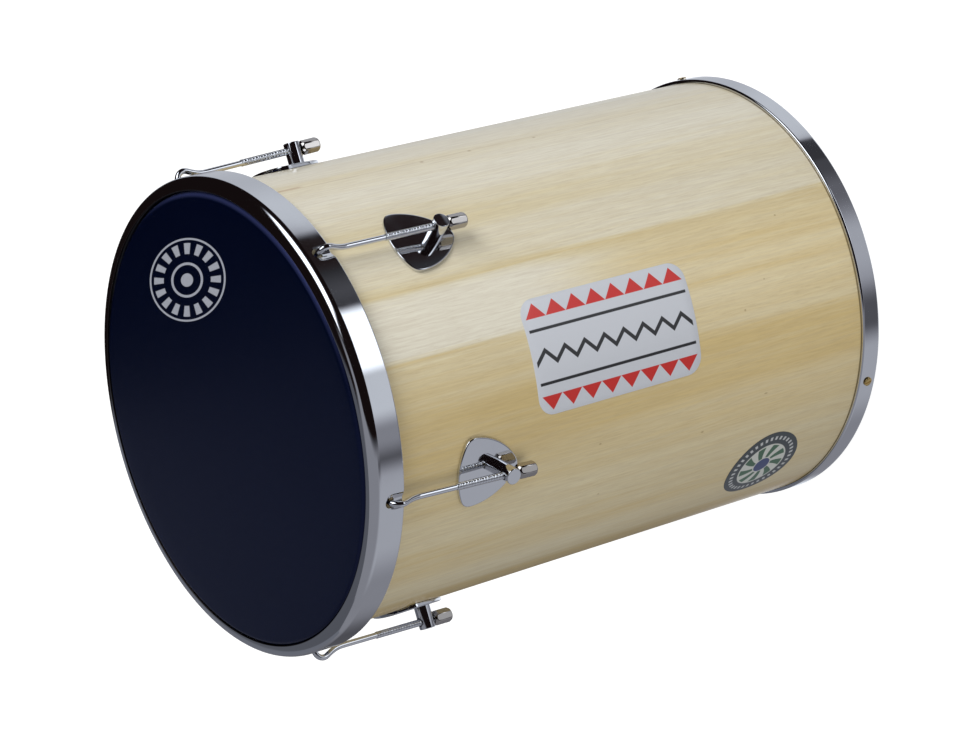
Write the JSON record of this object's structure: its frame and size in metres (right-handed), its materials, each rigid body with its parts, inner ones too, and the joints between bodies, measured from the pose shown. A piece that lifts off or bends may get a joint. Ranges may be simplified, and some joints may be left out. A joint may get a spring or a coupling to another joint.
{
  "type": "rebolo drum",
  "caption": "Single-headed straight-sided hand drum: plywood shell, synthetic head under a rolled steel hoop, hook rods with long nuts on post lugs, metal band round the open end.",
  "frame": {"origin": "centre of the open rear rim, on the surface the drum stands on", "axes": "+Z along the drum's axis from the open end to the head; +X towards the first lug"},
  "size_m": [0.3402, 0.3236, 0.4394],
  "materials": {
    "shell_wood": "satin lacquer",
    "navy_skin": "fine grained synthetic",
    "chrome": "polished",
    "nickel": "plated",
    "brass": "plain",
    "zinc": "zinc plated",
    "aluminium": "mill",
    "badge": "printed vinyl"
  },
  "bodies": {
    "drum_body": {"shell": "shell_wood", "rear_band": "chrome", "rear_band_screw_1": "brass", "rear_band_screw_2": "brass", "rear_band_screw_3": "brass", "lug_plate_1": "chrome", "lug_plate_2": "chrome", "lug_plate_3": "chrome", "lug_plate_4": "chrome", "lug_plate_5": "chrome", "lug_plate_6": "chrome", "lug_post_1": "chrome", "lug_post_2": "chrome", "lug_post_3": "chrome", "lug_post_4": "chrome", "lug_post_5": "chrome", "lug_post_6": "chrome", "lug_screw_1": "zinc", "lug_screw_2": "zinc", "lug_screw_3": "zinc", "lug_screw_4": "zinc", "lug_screw_5": "zinc", "lug_screw_6": "zinc", "lug_washer_1": "zinc", "lug_washer_2": "zinc", "lug_washer_3": "zinc", "lug_washer_4": "zinc", "lug_washer_5": "zinc", "lug_washer_6": "zinc"},
    "head_and_hoop": {"counterhoop": "chrome", "head_skin": "navy_skin", "flesh_hoop": "aluminium", "tuning_hook_1": "chrome", "tuning_hook_2": "chrome", "tuning_hook_3": "chrome", "tuning_hook_4": "chrome", "tuning_hook_5": "chrome", "tuning_hook_6": "chrome"},
    "nut_1": {"tuning_nut_1": "nickel"},
    "nut_2": {"tuning_nut_2": "nickel"},
    "nut_3": {"tuning_nut_3": "nickel"},
    "nut_4": {"tuning_nut_4": "nickel"},
    "nut_5": {"tuning_nut_5": "nickel"},
    "nut_6": {"tuning_nut_6": "nickel"}
  },
  "joints": [
    {"name": "hoop_slide", "type": "slide", "parent": "drum_body", "child": "head_and_hoop", "axis": [0, 0, 1], "range_m": [0, 0.006]},
    {"name": "nut_1_turn", "type": "hinge", "parent": "drum_body", "child": "nut_1", "pos_m": [0.16478, 0.0023, 0.335], "axis": [0.0283, -0.0275, -0.9992], "range_deg": [0, 2700]},
    {"name": "nut_2_turn", "type": "hinge", "parent": "drum_body", "child": "nut_2", "pos_m": [0.0804, 0.14386, 0.335], "axis": [0.038, 0.0108, -0.9992], "range_deg": [0, 2700]},
    {"name": "nut_3_turn", "type": "hinge", "parent": "drum_body", "child": "nut_3", "pos_m": [-0.08439, 0.14156, 0.335], "axis": [0.0097, 0.0383, -0.9992], "range_deg": [0, 2700]},
    {"name": "nut_4_turn", "type": "hinge", "parent": "drum_body", "child": "nut_4", "pos_m": [-0.16478, -0.0023, 0.335], "axis": [-0.0283, 0.0275, -0.9992], "range_deg": [0, 2700]},
    {"name": "nut_5_turn", "type": "hinge", "parent": "drum_body", "child": "nut_5", "pos_m": [-0.0804, -0.14386, 0.335], "axis": [-0.038, -0.0108, -0.9992], "range_deg": [0, 2700]},
    {"name": "nut_6_turn", "type": "hinge", "parent": "drum_body", "child": "nut_6", "pos_m": [0.08439, -0.14156, 0.335], "axis": [-0.0097, -0.0383, -0.9992], "range_deg": [0, 2700]}
  ],
  "couplings": [
    {"joint": "nut_1_turn", "follows": "hoop_slide", "rad_per_m": 7854},
    {"joint": "nut_2_turn", "follows": "hoop_slide", "rad_per_m": 7854},
    {"joint": "nut_3_turn", "follows": "hoop_slide", "rad_per_m": 7854},
    {"joint": "nut_4_turn", "follows": "hoop_slide", "rad_per_m": 7854},
    {"joint": "nut_5_turn", "follows": "hoop_slide", "rad_per_m": 7854},
    {"joint": "nut_6_turn", "follows": "hoop_slide", "rad_per_m": 7854}
  ]
}
